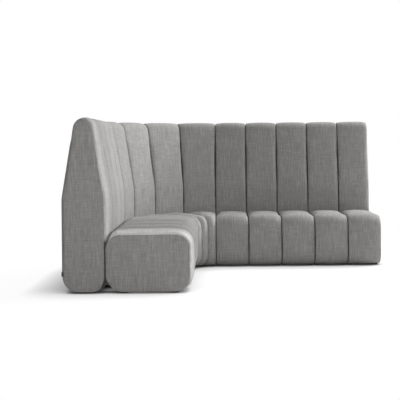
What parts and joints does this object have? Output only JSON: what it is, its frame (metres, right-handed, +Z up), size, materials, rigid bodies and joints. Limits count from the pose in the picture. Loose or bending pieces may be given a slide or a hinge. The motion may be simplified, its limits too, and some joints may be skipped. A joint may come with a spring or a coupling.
{
  "type": "corner sofa",
  "caption": "High-backed upholstered corner sofa of upright crowned slices, with straight wings, wedge slices round the corner and a low flat-bar base on glides.",
  "frame": {"origin": "on the floor, at the centre of the sofa's bounding box in plan", "axes": "+Z up, +X along the right wing away from the corner, +Y from the right wing's seat to its back"},
  "size_m": [2.4848, 2.2049, 1.24],
  "materials": {
    "grey_woven_fabric": "matt grey melange woven upholstery",
    "birch_plywood": "raw birch plywood",
    "black_coated_steel": "satin black powder coat"
  },
  "bodies": {
    "root": {"seat_pad_left_1": "grey_woven_fabric", "seat_pad_left_2": "grey_woven_fabric", "seat_pad_left_3": "grey_woven_fabric", "seat_pad_left_4": "grey_woven_fabric", "seat_pad_corner_1": "grey_woven_fabric", "seat_pad_corner_2": "grey_woven_fabric", "seat_pad_corner_3": "grey_woven_fabric", "seat_pad_corner_4": "grey_woven_fabric", "seat_pad_right_1": "grey_woven_fabric", "seat_pad_right_2": "grey_woven_fabric", "seat_pad_right_3": "grey_woven_fabric", "seat_pad_right_4": "grey_woven_fabric", "seat_pad_right_5": "grey_woven_fabric", "back_pad_left_1": "grey_woven_fabric", "back_pad_left_2": "grey_woven_fabric", "back_pad_left_3": "grey_woven_fabric", "back_pad_left_4": "grey_woven_fabric", "back_pad_corner_1": "grey_woven_fabric", "back_pad_corner_2": "grey_woven_fabric", "back_pad_corner_3": "grey_woven_fabric", "back_pad_corner_4": "grey_woven_fabric", "back_pad_right_1": "grey_woven_fabric", "back_pad_right_2": "grey_woven_fabric", "back_pad_right_3": "grey_woven_fabric", "back_pad_right_4": "grey_woven_fabric", "back_pad_right_5": "grey_woven_fabric", "seat_carcass_left_1": "birch_plywood", "seat_carcass_left_2": "birch_plywood", "seat_carcass_left_3": "birch_plywood", "seat_carcass_left_4": "birch_plywood", "seat_carcass_corner_1": "birch_plywood", "seat_carcass_corner_2": "birch_plywood", "seat_carcass_corner_3": "birch_plywood", "seat_carcass_corner_4": "birch_plywood", "seat_carcass_right_1": "birch_plywood", "seat_carcass_right_2": "birch_plywood", "seat_carcass_right_3": "birch_plywood", "seat_carcass_right_4": "birch_plywood", "seat_carcass_right_5": "birch_plywood", "back_carcass_left_1": "birch_plywood", "back_carcass_left_2": "birch_plywood", "back_carcass_left_3": "birch_plywood", "back_carcass_left_4": "birch_plywood", "back_carcass_corner_1": "birch_plywood", "back_carcass_corner_2": "birch_plywood", "back_carcass_corner_3": "birch_plywood", "back_carcass_corner_4": "birch_plywood", "back_carcass_right_1": "birch_plywood", "back_carcass_right_2": "birch_plywood", "back_carcass_right_3": "birch_plywood", "back_carcass_right_4": "birch_plywood", "back_carcass_right_5": "birch_plywood", "base_frame_left": "black_coated_steel", "base_frame_corner": "black_coated_steel", "base_frame_right": "black_coated_steel"}
  },
  "joints": []
}
